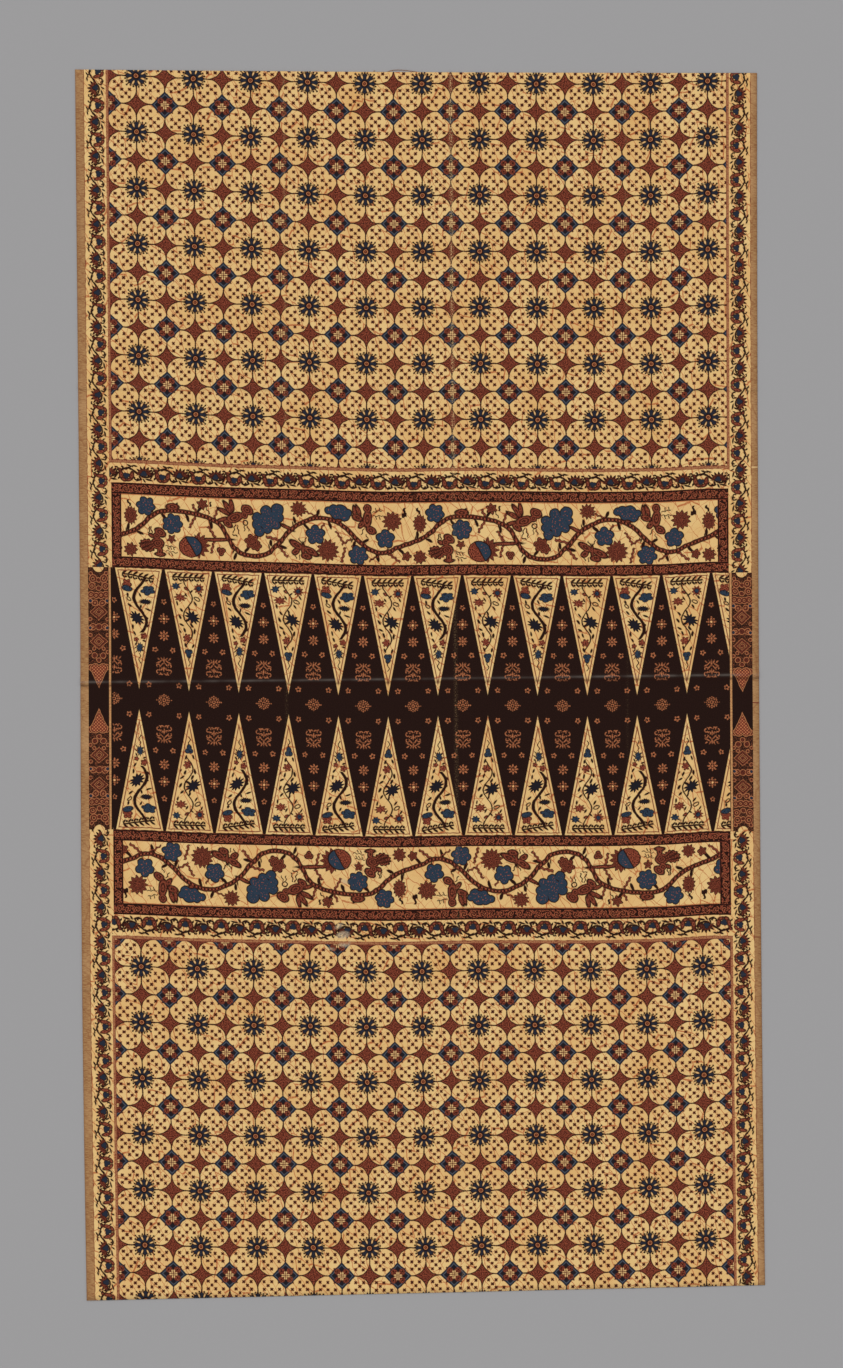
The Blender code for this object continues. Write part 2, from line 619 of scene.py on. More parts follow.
def closeTree(pen, colour):
    # wear, painted shadow and painted highlight on the folds, the weave, and the shader itself
    wearAndShade = node("ShaderNodeAttribute", attribute_name="wearAndShade").outputs["Color"]
    parts = node("ShaderNodeSeparateXYZ")
    feed(parts.inputs[0], wearAndShade)
    greyWearAndHighlight, creamWear, creaseShadow = parts.outputs
    rub = speckle(pen["sheet"], 0.5, 2, 0.7)
    patchy = speckle(pen["sheet"], 0.035, 1)
    # painted shadow: a dark line just below the ridge of each crosswise fold
    colour = paint(colour, times(creaseShadow, 0.55), dyes["dark"])
    # pale grey on the crosswise folds' crests: rubbed dye and painted highlight
    colour = paint(colour, times(greyWearAndHighlight, step(patchy, 0.2, 0.75)), dyes["wornGreyAndHighlight"])
    colour = paint(colour, times(creamWear, step(rub, 0.5, 0.62)), dyes["wornCream"])
    shader = draw["tree"].nodes["Principled BSDF"]
    feed(shader.inputs["Base Color"], colour)
    across, down = split(pen["sheet"])
    weft = sine(times(down, 2 * math.pi / weave["weft"]))
    warp = sine(times(across, 2 * math.pi / weave["warp"]))
    bump = node("ShaderNodeBump")
    bump.inputs["Strength"].default_value = weave["strength"]
    bump.inputs["Distance"].default_value = weave["height"]
    feed(bump.inputs["Height"], timesPlus(weft, warp, times(rub, 1.5)))
    feed(shader.inputs["Normal"], bump.outputs[0])
    feed(shader.inputs["Roughness"], timesPlus(pen["grain"], 0.16, 0.76))
    shader.inputs["Specular IOR Level"].default_value = 0.05
    shader.inputs["Sheen Weight"].default_value = 0.02
    shader.inputs["Sheen Roughness"].default_value = 0.5
    return pen["material"]


def motifDye(colour, shape, fill, line=0.8):
    # a shape with a dark outline
    colour = dyed(colour, minus(shape, line), "dark")
    return paint(colour, ink(shape), fill)


def brownDye(pen):
    # red-brown, stippled dark and light
    stipple = speckle(pen["sheet"], 0.55, 1)
    base = shaded(dyes["soga"], stipple, 0.50, 0.70, "sogaLight")
    return shaded(base, stipple, 0.47, 0.28, "dark")


def atAngle(away, angle):
    # along a line turned to this angle, and off it
    return times(away, cosine(angle)), times(away, sine(angle))


def pinShape(along, off, middle, reach, tip):
    # a thin pin with a round head at its tip
    return join(common(minus(off, 0.75), within(along, middle, reach)), disc(pair(along, off), tip, 0, 1.5))


def fieldPrint():
    pen = openTree("field")
    half = fieldCell / 2
    x, y = [folded(part, half) for part in split(pen["motif"])]
    high, low = larger(x, y), smaller(x, y)
    colour = creamDye(pen)
    # marks on the petals, folded along the diagonal
    gap = 11.8
    petalAt = 22.0
    markX = folded(minus(high, petalAt), gap / 2)
    markY = folded(minus(low, petalAt), gap / 2)
    offX = unsigned(minus(high, petalAt + gap / 2))
    offY = unsigned(minus(low, petalAt - gap / 2))
    isMiddle = calc("LESS_THAN", plus(offX, offY), 4.6)  # the mark between four others
    armX = timesPlus(isMiddle, minus(offX, markX), markX)
    armY = timesPlus(isMiddle, minus(offY, markY), markY)
    cross = timesPlus(unsigned(minus(armX, armY)), 0.707, -0.82)
    reach = timesPlus(plus(armX, armY), 0.707, -2.65)
    blot = minus(size(armX, armY), 1.75)
    mark = join(common(cross, reach), blot)
    colour = dyed(colour, minus(mark, 0.35), "markEdge", 0.6)
    colour = dyed(colour, mark, "markDark")
    # ground between the petals
    petal = disc(pair(x, y), petalAt, petalAt, 21.2)
    diamond = timesPlus(minus(minus(2 * half, x), y), 0.707, -0.707 * 21.6)
    deep = paint(brownDye(pen), 0.18, dyes["dark"])
    ground = dyed(deep, minus(petal, 1.3), "dark")
    colour = paint(colour, ink(outside(petal), 0.35), ground)
    # diamonds
    fromX, fromY = minus(half, x), minus(half, y)
    near = pair(fromX, fromY)
    cornerX, cornerY = larger(fromX, fromY), smaller(fromX, fromY)
    corner = pair(cornerX, cornerY)
    tile = dyed(dyes["indigo"], disc(corner, 11.4, 0, 2.9), "dark")
    tile = dyed(tile, disc(corner, 11.4, 0, 2.2), "darkBlue")
    roundel = disc(near, 6.8, 6.8, 5)
    tile = motifDye(tile, roundel, deep, 0.5)
    tile = dyed(tile, disc(near, 6.9, 6.9, 1.1), "dark")
    tile = dyed(tile, disc(near, 0, 0, 5.4), "dark")
    pips = join(oval(corner, 4.5, 1.5, 1.8, 0.85), disc(corner, 1.4, 1.4, 0.8))
    tile = dyed(tile, minus(pips, 0.6), "soga")
    tile = dyed(tile, pips, "cream")
    tile = dyed(tile, disc(corner, 7.8, 0, 1.3), "dark")
    chevron = common(within(plus(cornerX, cornerY), 17.2, 0.4), minus(11, cornerX))
    tile = dyed(tile, chevron, "indigoPale", 0.3)
    tile = dyed(tile, outside(plus(diamond, 1.7)), "indigo")
    tile = dyed(tile, outside(plus(diamond, 0.5)), "dark")
    colour = paint(colour, ink(diamond, 0.3), tile)
    # rosette at the middle of each flower: eight arms folded onto one
    away = size(x, y)
    fan = folded(bearing(y, x), math.pi / 8)
    armAlong, armOff = atAngle(away, fan)
    pinAlong, pinOff = atAngle(away, minus(fan, math.radians(13.5)))
    longAlong, longOff = times(plus(high, low), 0.707), times(minus(high, low), 0.707)
    pins = join(
        pinShape(pinAlong, unsigned(pinOff), 14.2, 2.4, 17.2),
        pinShape(longAlong, longOff, 17.5, 3, 20.4),
    )
    stalk = common(minus(armOff, 2.1), minus(away, 12.4))
    plate = join(minus(away, 8.4), stalk, disc(pair(armAlong, armOff), 12.6, 0, 3.1))
    colour = dyed(colour, join(pins, minus(plate, 0.6)), "dark")
    colour = dyed(colour, plus(plate, 0.7), "indigo")
    colour = dyed(colour, plus(plate, 2.1), "darkBlue")
    capsule = oval(pair(*atAngle(away, minus(math.pi / 8, fan))), 11.4, 0, 3.1, 1.15)
    colour = dyed(colour, minus(capsule, 0.7), "dark")
    colour = dyed(colour, capsule, "goldPale")
    colour = dyed(colour, minus(away, 5), "dark")
    colour = dyed(colour, within(away, 2.9, 0.5), "gold", 0.35)
    colour = dyed(colour, minus(away, 1.4), "markEdge")
    # the brown line that frames the field
    u, v = split(pen["sheet"])
    left, right = layout["borderLeft"], layout["borderRight"]
    first, last = layout["fieldEnd"], layout["fieldStart"]
    lineX = within(u, (left + right) / 2, (right - left) / 2 - 3.8)
    lineY = minus((last - first) / 2 + 3.8, unsigned(minus(v, (first + last) / 2)))
    frameLine = larger(lineX, lineY)
    frame = shaded(dyes["frame"], pen["grain"], 0.45, 0.7, "soga")
    colour = paint(colour, ink(outside(frameLine)), frame)
    colour = dyed(colour, outline(plus(frameLine, 0.2), 0.45), "soga")
    return closeTree(pen, baldness(pen, colour))


def borderPrint():
    pen = openTree("border")
    along, across = split(pen["motif"])
    x = repeated(along, 41, -13)
    spot = pair(x, across)
    colour = creamDye(pen)
    turnRate = 2 * math.pi / borderRepeat
    swing = cosine(times(minus(along, 29), turnRate))
    stemOff = unsigned(minus(timesPlus(swing, 7.5, 17), across))
    thin = join(timesPlus(stemOff, 0.75, -1), many(hook, spot, (
        (8, 9, 2.8, 1.1, 30), (14.6, 26.2, 3, 1.1, -70), (38.6, 10.6, 2.7, 1.1, 150),
        (-7.5, 9.4, 2.5, 1.1, 200), (35, 23, 2.6, 1, 80),
    )))
    thin = join(thin, ovals(spot, (
        # x, y, half length, half width, turn
        (-11.6, 13, 4.2, 1.4, 60), (1.5, 10, 4, 1.4, -35), (13, 15, 4.2, 1.4, 40),
        (18.6, 29.6, 4.4, 1.4, -20), (34, 28.6, 5, 1.4, 15), (37.6, 24, 3.8, 1.3, -60),
        (12.5, 5.6, 3.4, 1.3, 15), (39.8, 17.5, 4.2, 1.3, 70), (26.5, 30, 3.2, 1.3, 60),
        (-12, 27, 3.8, 1.3, -50), (4, 5.2, 3.2, 1.3, 30), (20.5, 25.5, 3.6, 1.2, 70),
    )))
    # the rows across the cloth are drawn heavier than the ones down its sides
    heavy = calc("COMPARE", split(pen["sheet"])[0], crossBorder["middle"], crossBorder["reach"])
    colour = dyed(colour, timesPlus(heavy, -0.3, thin), "dark")
    # round flower: three petals about a blue heart, open to the outer side
    flower = ovals(spot, (
        (-7.8, 21.4, 6.2, 2.8, 80), (8, 21.9, 6, 2.8, -80), (-4.2, 29, 3.7, 2.2, 28),
        (4.4, 29, 3.7, 2.2, -28), (-9.6, 12.6, 2.6, 1.5, 40),
    ))
    # fan flower: short points towards the selvedge
    root = (27, 21)
    outward = minus(root[1], across)
    fromRoot = vector("DISTANCE", spot, (*root, 1))
    saw = folded(bearing(minus(x, root[0]), outward), math.radians(12))
    edge = timesPlus(saw, -5.6 / math.radians(12), 15.2)
    fan = common(minus(fromRoot, edge), timesPlus(outward, -1, 1))
    brown = timesPlus(heavy, -0.45, join(flower, fan))
    shade = timesPlus(heavy, 0.2, 0.42)
    colour = motifDye(colour, brown, paint(brownDye(pen), shade, dyes["dark"]), 0.7)
    colour = dyed(colour, outline(plus(flower, 1.5), 0.3), "sogaLight", 0.35)
    colour = dyed(colour, common(fan, minus(11.4, fromRoot)), "dark")
    blue = join(petals(spot, 0, 22.4, 4.9, 3, 1.7, 100), petals(spot, 26, 18.6, 4.9, 3, 2, 35))
    colour = motifDye(colour, blue, dyes["indigo"], 0.9)
    # a thin line along the outer edge
    colour = dyed(colour, minus(across, 0.8), "soga")
    return closeTree(pen, baldness(pen, colour))


def scrollPrint():
    pen = openTree("scroll")
    along, across = split(pen["motif"])
    unit = 14.6
    x = repeated(along, unit / 2, -unit / 2)
    y = minus(across, scrollHeight / 2)
    away = size(x, y)
    swirl = sine(timesPlus(away, 1.9, times(bearing(y, x), 2)))
    # small leaves between two spirals
    uneven = minus(speckle(pen["sheet"], 0.24, 0), 0.5)
    inner = step(away, 6.2, 5)
    fill = timesPlus(uneven, 2, swirl)
    fill = timesPlus(inner, minus(fill, times(uneven, 9)), times(uneven, 9))
    colour = paint(dyes["dark"], step(fill, -0.5, 0), brownDye(pen))
    light = step(within(fill, 0.75, 0), 0.2, 0.05)
    colour = paint(colour, times(light, 0.7), dyes["gold"])
    colour = dyed(colour, minus(6.1, unsigned(y)), "dark")
    colour = dyed(colour, minus(8.3, unsigned(y)), "soga", 0.3)
    # the joint between two lengths of scroll
    colour = dyed(colour, within(split(pen["sheet"])[0], 525, 3.5), "dark", 1.5, share=0.6)
    return closeTree(pen, colour)


# the vine of the flower panels: along the panel, and down from its outer edge, in millimetres
vineRoute = (
    (-72, 62.8), (-56, 56.5), (-41, 46.4), (-24, 31.2), (-6, 23.5), (18, 23.2), (52, 28.2),
    (68, 33.6), (81, 42.2), (93, 62), (106, 79), (124, 88), (140, 88.6), (168, 72.2),
    (193, 45.3), (212, 33.6), (237, 26.4), (255, 29), (268, 34.6), (302, 64.2),
    (320, 75.6), (334, 78.6), (358, 70.4), (380.7, 62.8),
)


def vineAt(along):
    return between([p[0] for p in vineRoute], [p[1] for p in vineRoute], along)


def vineNode(along):
    # the same route for the shader: a curve through the points, each scaled to 0 to 1
    made = node("ShaderNodeFloatCurve")
    curve = made.mapping.curves[0]
    start, tall = vineRoute[0][0], 100.0
    places = [((at - start) / flowerRepeat, down / tall) for at, down in vineRoute]
    curve.points[0].location = places[0]
    curve.points[1].location = places[-1]
    for place in places[1:-1]:
        curve.points.new(*place)
    made.mapping.update()
    feed(made.inputs["Value"], timesPlus(along, 1 / flowerRepeat, -start / flowerRepeat))
    return times(made.outputs[0], tall)


# brown figures of the flower panels: x, y, radius, points, depth, turn
pointedFlowers = (
    (-59, 86, 10.2, 9, 3.6, 0), (53.4, 10.5, 8.6, 6, 3.8, 20), (203.8, 13.4, 12, 11, 4.4, 0),
    (249.3, 76.6, 17, 13, 5.2, 8), (350.2, 29.3, 14.8, 11, 4.8, 15), (372.7, 84, 7.4, 5, 3.2, 0),
    (4.8, 67, 6.6, 5, 3.6, 20),
)
roundFlowers = (
    (131, 66.5, 11.5, 6, 3.8, 10), (82.5, 83, 6.4, 3, 2.6, 90), (137.5, 73, 7.5, 5, 2.6, 0),
)
wing = (-33, 78.6)  # middle of the first bird's wing
# ovals: x, y, half length, half width, turn
firstBird = (
    (-17, 75, 9.5, 8, 0), (-13.5, 87, 3.6, 6.6, 0), (-13.5, 91.6, 6.4, 2.6, 0),
    (-13, 57.5, 8.4, 5.6, 35), (-18.5, 63, 5, 5, 0), (-27, 63, 3.6, 2.4, 40),
)
secondBird = (
    (104, 29.5, 12.5, 7, -20), (93, 39, 7.5, 4.4, 40), (123.5, 17, 9, 6.6, 30),
    (119, 25, 5, 4.6, 60), (93, 14, 3.2, 10, -35), (87, 20.5, 3, 8.6, -62),
    (99, 10.5, 2.8, 8, -10), (84.5, 33, 2.4, 6.6, 70),
)
thirdBird = (
    (311.5, 26, 6, 12.5, 4), (311.5, 9.5, 5.4, 6, 0), (297.5, 13, 2.6, 7.6, -22),
    (291.5, 14.5, 2.4, 7.4, -8), (296, 24.6, 7.6, 4.4, 18), (317.5, 43.5, 7.6, 5.2, 30),
    (302.5, 35, 3.4, 6, 40),
)
butterfly = (
    (210.6, 76, 2, 7.4, 0), (200.4, 69.6, 11, 4.6, 32), (222.4, 79, 12, 4.6, 28),
    (199, 80, 5.6, 4.2, -30), (216, 87, 7, 4.4, 12),
)
smallBrowns = (
    (75, 65, 18, 2, -2), (185.5, 42.5, 8.5, 2, 26), (6.7, 16.6, 9.4, 5, 0), (267, 27.6, 4, 3.2, 0),
)
# thin dark strokes: legs, feelers, leaves on their own and small stalks
strokes = (
    (-30, 54, 1, 6, 12), (-26.5, 55, 1, 6.5, -12), (3, 78.6, 9, 0.7, 6),
    (5, 87, 10, 0.7, 10), (-1, 81, 0.8, 2.4, 0), (3.6, 81.6, 0.8, 2.4, 0),
    (8, 82.2, 0.8, 2.4, 0), (1, 90, 0.8, 2.4, 0), (6, 91, 0.8, 2.4, 0),
    (103, 47, 0.9, 8, 10), (109, 48, 0.9, 8.5, -14), (104, 57, 5, 0.9, 20),
    (124.5, 46, 0.8, 5, -20), (119, 46, 0.8, 5, 0), (206, 63, 0.9, 5, -30),
    (214, 62, 0.9, 5, 30), (199, 88, 0.8, 4, -15), (205, 89, 0.8, 4, 10),
    (327, 14, 9, 0.7, -12), (328, 21, 9, 0.7, -4), (325, 11.5, 0.8, 3, 10),
    (331, 10.5, 0.8, 3, 10), (325, 24, 0.8, 3, 0), (331, 24, 0.8, 3, 0),
    (304, 46, 0.9, 6, 25), (311, 54, 0.8, 5, -20), (-61.5, 13.5, 6, 1.8, 62),
    (369.5, 13, 1.8, 5.6, 0), (369.5, 19.5, 4.6, 3.4, 0), (62, 20, 6.5, 0.9, 55),
    (66, 10, 1.6, 4.6, 10),
)
twigs = (
    (41, 18, 7, 1.3, 62), (38, 38, 11, 1.3, -60), (75, 23, 9.5, 1.3, -72),
    (67.5, 53, 9.5, 1.3, 58), (69.5, 74, 12.5, 1.3, -78), (165, 61, 12.5, 1.5, 14),
    (179.5, 81, 10.5, 1.4, 52), (268, 55, 10, 1.2, 58), (273.5, 83, 12, 1.3, -75),
    (279, 62, 8.5, 1, -32), (353, 86, 11.5, 1.4, 38), (222, 20, 11, 0.8, 22),
    (240, 42, 8, 0.8, -60), (293, 70, 6, 0.8, 0), (322, 87, 9, 0.8, -30),
)
# blue figures: lobed flowers, then the rounds of the two big clusters
lobedFlowers = (
    (-35.3, 17.4, 14.2, 6, 3.6, 10), (6.4, 43.3, 15.2, 7, 3.4, 0), (230.2, 53, 14.6, 5, 4, 50),
    (297, 83, 14.8, 6, 3.8, 12), (339.4, 56.7, 14.4, 5, 4, 54),
)
clusters = (
    (156, 32.5, 14), (170.5, 16, 9), (153, 18, 7.8), (138.8, 28, 6.6), (138.6, 39.5, 6.6),
    (142.6, 50.4, 7), (155, 46, 6.6), (168.6, 39.5, 6.4), (173.4, 28, 6.2), (250.5, 14, 5),
    (259, 14, 8), (269.5, 16, 10.5), (282, 17, 4.8), (276, 22.5, 7), (262, 21, 6),
)


def asStick(x, y, long, wide, turn):
    # a stroke's row as the stick along its longer side, a little short of the row's length
    if wide > long:
        long, wide, turn = wide, long, turn + 90
    return x, y, 0.9 * long, wide, turn


def flowersPrint():
    pen = openTree("flowers")
    along, across = split(pen["motif"])
    start = vineRoute[0][0]
    a = repeated(along, start + flowerRepeat, start)
    spot = pair(a, across)
    # vine: its height above and below, made square to its slope
    height = vineNode(a)
    slope = minus(vineNode(plus(a, 0.5)), vineNode(minus(a, 0.5)))
    squeeze = calc("INVERSE_SQRT", timesPlus(slope, slope, 1))
    off = times(unsigned(minus(across, height)), squeeze)
    # leaves set along the vine by a loop, in turn on either side
    leaves = []
    for k in range(24):
        at = start + 9 + k * 18.6
        side = 1 if k % 2 else -1
        lean = math.degrees(math.atan((vineAt(at + 1) - vineAt(at - 1)) / 2))
        y = vineAt(at) + side * 8.4 / math.cos(math.radians(lean))
        if 5 < y < 93:
            long = 6.2 + 0.9 * math.sin(3.1 * k)
            leaves.append((at, y, long, 2.5, lean + side * 62))
            leaves.append((at - 2.8, (y + 1.4 * vineAt(at)) / 2.4, 1.1, 4.2, lean - side * 24))
    thin = join(ovals(spot, leaves), many(stick, spot, [asStick(*row) for row in strokes]))
    thin = join(thin, ring(spot, 120.5, 37, 3.6, 1))
    colour = dyed(creamDye(pen), thin, "dark")
    colour = motifDye(colour, many(stick, spot, twigs), brownDye(pen), 0.8)
    brown = join(minus(off, 2.4), many(spikes, spot, pointedFlowers))
    brown = join(brown, many(petals, spot, roundFlowers))
    brown = join(brown, petals(placed(spot, *wing, 12, 1.3, 1), 0, 0, 9.4, 12, 1.8))
    brown = join(brown, spikes(placed(spot, -59, 33, 0, 0.8, 1.1), 0, 0, 12.6, 13, 3.4))
    brown = join(brown, common(spikes(spot, 45, 75, 19.5, 13, 6.5), minus(42, a)))
    for figure in (firstBird, secondBird, thirdBird, butterfly, smallBrowns):
        brown = join(brown, ovals(spot, figure))
    colour = motifDye(colour, brown, paint(brownDye(pen), 0.28, dyes["dark"]), 1.4)
    veins = join(outline(plus(brown, 3), 0.6), outline(plus(brown, 5.8), 0.6))
    colour = dyed(colour, veins, "dark", 0.4, share=0.8)
    lights = join(outline(plus(brown, 1.6), 0.3), outline(plus(brown, 4.4), 0.35))
    colour = dyed(colour, lights, "sogaLight", 0.3, share=0.55)
    # feathers spread from the first bird's breast
    side, ahead = seenFrom(spot, -12, 70)
    spread = sine(times(bearing(ahead, side), 26))
    feathers = common(minus(0.35, spread), disc(spot, *wing, 12))
    colour = paint(colour, times(times(ink(feathers, 0.4), ink(brown)), 0.8), dyes["dark"])
    # light dashes down the vine
    dashes = common(minus(off, 1), minus(folded(a, 2.7), 1.2))
    colour = dyed(colour, minus(off, 1.6), "dark")
    colour = dyed(colour, dashes, "sogaLight", 0.4)
    # blue figures, with the brown half of the fruit beside its blue half
    fruit = oval(spot, 34.3, 77.7, 17, 15.2, 10)
    colour = motifDye(colour, fruit, brownDye(pen), 1.4)
    blue = join(many(petals, spot, lobedFlowers), many(disc, spot, clusters))
    blue = join(blue, common(fruit, vector("DOT_PRODUCT", spot, (-0.868, 0.496, -7.2))))
    colour = motifDye(colour, blue, dyes["indigoBand"], 1.7)
    spots = speckle(pen["motif"], 0.42, 0)
    seeds = times(step(spots, 0.70, 0.78), ink(plus(blue, 2.6)))
    colour = paint(colour, times(seeds, 0.8), dyes["sogaLight"])
    veins = step(within(spots, 0.46, 0), 0.03, 0.01)
    veins = times(veins, ink(plus(blue, 1.6)))
    colour = paint(colour, veins, dyes["darkBlue"])
    # a thin brown line just inside the frame
    colour = dyed(colour, within(across, 0.6, 0.5), "crackle")
    return closeTree(pen, baldness(pen, colour))


def sprig(spot, x, y, reach, turn):
    # a bold twig with a leaf above, then a berry and a small leaf below
    along, off = seenFrom(spot, x, y, turn)
    beat = pair(repeated(along, 8.4, 0), off)
    leaf = oval(beat, 3.8, -3.5, 5, 1.7, -42)
    low = join(disc(beat, 6.6, 3.9, 1.9), oval(beat, 2.4, 3.6, 4.4, 1.5, 44))
    stem = outline(off, 1.3)
    return common(join(stem, leaf, low), outline(along, reach))


def waveOff(spot, middle, swing, length, start):
    # sideways distance from a wavy stem that runs down the motif
    x, y = split(spot)
    wave = cosine(times(minus(y, start), 2 * math.pi / length))
    return unsigned(minus(x, timesPlus(wave, swing, middle))), y


def stemShape(spot, wave, slim, half, low, high):
    off, y = waveOff(spot, *wave)
    return common(timesPlus(off, slim, -half), minus(y, low), minus(high, y))


def tailShape(spot, wave, middle, reach):
    # the thin wriggle at the foot of a stem
    off, y = waveOff(spot, *wave)
    return common(minus(off, 0.85), within(y, middle, reach))


def loop(spot, x, y, outer, inner, turn):
    return cut(oval(spot, x, y, *outer, turn), oval(spot, x, y, *inner, turn))


def headPrint():
    pen = openTree("head")
    pitch = tumpal["pitch"]
    along, down = split(pen["motif"])
    colour = creamDye(pen)
    a = repeated(along, pitch, -pitch)
    # first design, thin stem
    one = pair(plus(a, pitch / 2), down)
    stem = stemShape(one, (-1, 6.8, 56, 43), 0.8, 0.95, 118, 13)
    tail = tailShape(one, (0.5, 1.3, 11, 2), 143, 7)
    darkShapes = join(stem, tail, ovals(one, (
        (-15, 22, 5.5, 0.9, -20), (-11.5, 62.5, 3.8, 1.6, 50), (0.5, 60, 3.8, 1.6, 70),
        (-13.5, 73, 4.2, 1.9, 60), (-11, 85.5, 4, 1.6, 30), (-6.5, 93.5, 4, 1.7, 70),
        (9, 95, 4.2, 1.9, 100), (-5, 117, 3.8, 1.8, 70), (6.6, 118, 3.6, 1.6, 110),
        (10.5, 52, 4.2, 1.5, 55), (-4, 38.5, 3.6, 1.4, 60), (19, 38, 3.6, 1.4, 60),
        (-18, 52, 3.6, 1.5, 80), (4, 33, 3.6, 1.4, -40), (-13, 96, 3, 1.2, 60),
    )))
    darkShapes = join(darkShapes, loop(one, 13, 44.5, (5.6, 3.4), (3.6, 1.6), 25))
    brown = join(
        spikes(placed(one, -13, 43, 5, 1.25, 0.85), 0, 0, 7.4, 8, 3.4),
        petals(one, -2.5, 105.5, 6.2, 6, 2.8, 10),
        oval(one, -4, 29, 2.6, 1.5, 30), spikes(one, 16, 28, 7.8, 9, 3.4, 12),
    )
    blue = join(
        spikes(placed(one, -20, 25.5, 0, 1, 0.85), 0, 0, 6.4, 7, 2.6, 20), disc(one, 16, 28, 3),
        disc(one, -2.4, 127, 3.3), disc(one, 2.4, 127, 3.3), oval(one, 0, 132, 3.3, 4.6),
    )
    darkBlue = join(
        spikes(placed(one, 6, 73, 35, 1.2, 0.8), 0, 0, 12, 10, 5.2), oval(one, -2, 78, 4.6, 1.9, -20),
        oval(one, 5, 86, 4.4, 1.9, 60),
    )
    # second design, thick stem
    two = pair(minus(a, pitch / 2), down)
    stem = stemShape(two, (2, 9.8, 76, 84), 0.78, 2.1, 101, 14)
    tail = tailShape(two, (1, 1.3, 11, 5), 141, 8)
    darkShapes = join(darkShapes, stem, tail, ovals(two, (
        (-14, 58.5, 4, 1.7, 40), (14.5, 64.5, 5, 1.5, 20), (-17.5, 42, 3.2, 1.8, 80),
        (12.5, 78, 2.4, 1.7, 30), (14, 90, 3.4, 1.4, -60), (-9.5, 92, 3.8, 1.6, 80),
        (-7, 102, 3.8, 1.6, 60), (8.5, 113.5, 3.4, 1.4, 20), (-4.5, 118, 3.2, 1.3, -60),
        (2, 42, 3.6, 1.5, 60), (6.6, 122, 4.4, 0.9, 30), (-4.4, 124, 4.4, 0.9, -30),
        (5.6, 128, 4, 0.9, 50), (-3.2, 129.5, 4, 0.9, -50), (3, 60, 3.2, 1.6, 100),
    )))
    darkShapes = join(darkShapes, loop(two, -15.5, 48.5, (4.8, 3), (2.8, 1.3), 40))
    brown = join(
        brown, petals(two, -18.5, 25, 7.4, 5, 2.6, 15), petals(two, 7.4, 106, 4.8, 5, 1.8),
        petals(two, -4.4, 111.5, 3.4, 5, 1.2),
    )
    blue = join(
        blue, oval(two, -18.2, 32.5, 7.4, 3.8, 14),
        petals(placed(two, 14.6, 34.6, -8, 1.45, 0.95), 0, 0, 7.6, 5, 2.2, 30),
        spikes(placed(two, 1.2, 124, 0, 0.8, 1.3), 0, 0, 6.2, 9, 2.6),
    )
    darkBlue = join(
        darkBlue, spikes(placed(two, -3.4, 78, 40, 1.2, 0.8), 0, 0, 12, 11, 4.8),
        spikes(placed(two, 10.2, 52.5, 2, 1.75, 0.75), 0, 0, 6.4, 16, 2),
    )
    darkShapes = join(darkShapes, sprig(one, 0, 11.2, 25.5, 0), sprig(two, -1, 12.8, 25.5, 9))
    colour = dyed(colour, darkShapes, "dark")
    colour = motifDye(colour, brown, brownDye(pen), 0.9)
    mottled = shaded(dyes["indigoBand"], pen["grain"], 0.5, 0.62, "darkBlue")
    colour = motifDye(colour, blue, mottled, 0.9)
    colour = dyed(colour, darkBlue, "dark")
    colour = dyed(colour, plus(darkBlue, 1.8), "darkBlue")
    # the tapering panels themselves
    straight, straightDown = split(pen["plain"])
    x = folded(minus(straight, pitch / 2), pitch / 2)
    slant = tumpal["half"] / tumpal["height"]
    side = timesPlus(straightDown, slant, minus(x, tumpal["half"]))
    side = times(side, 1 / math.sqrt(1 + slant**2))
    inside = larger(side, minus(0.6, down))
    edging = outline(plus(inside, 3.5), 0.75)
    colour = paint(colour, ink(outside(plus(inside, 3.5))), creamDye(pen))
    colour = dyed(colour, edging, "soga")
    # dark ground with small gold figures, folded about the middle between two panels
    g = folded(along, pitch / 2)
    spot = pair(g, down)
    fine = speckle(pen["sheet"], 0.9, 1)
    ground = shaded(dyes["ground"], fine, 0.5, 0.9, "groundPale")
    small = join(*[
        cut(petals(spot, x, y, radius, 5, 2.2, turn), disc(spot, x, y, 1.7))
        for x, y, radius, turn in ((0, 51, 4.4, 90), (13.8, 126, 4.6, 30), (23.6, 181, 4.6, 60))
    ])
    crossShape = join(petals(spot, 0, 77.5, 5.8, 4, 3.6), many(disc, spot, (
        (7, 77.5, 1.3), (0, 70.5, 1.3), (0, 84.5, 1.3), (4.4, 73.1, 1.2), (4.4, 81.9, 1.2),
    )))
    crossShape = cut(crossShape, ring(spot, 0, 77.5, 2.7, 0.5))
    eight = cut(petals(spot, 0, 104, 8.2, 8, 6), ring(spot, 0, 104, 2.7, 0.6))
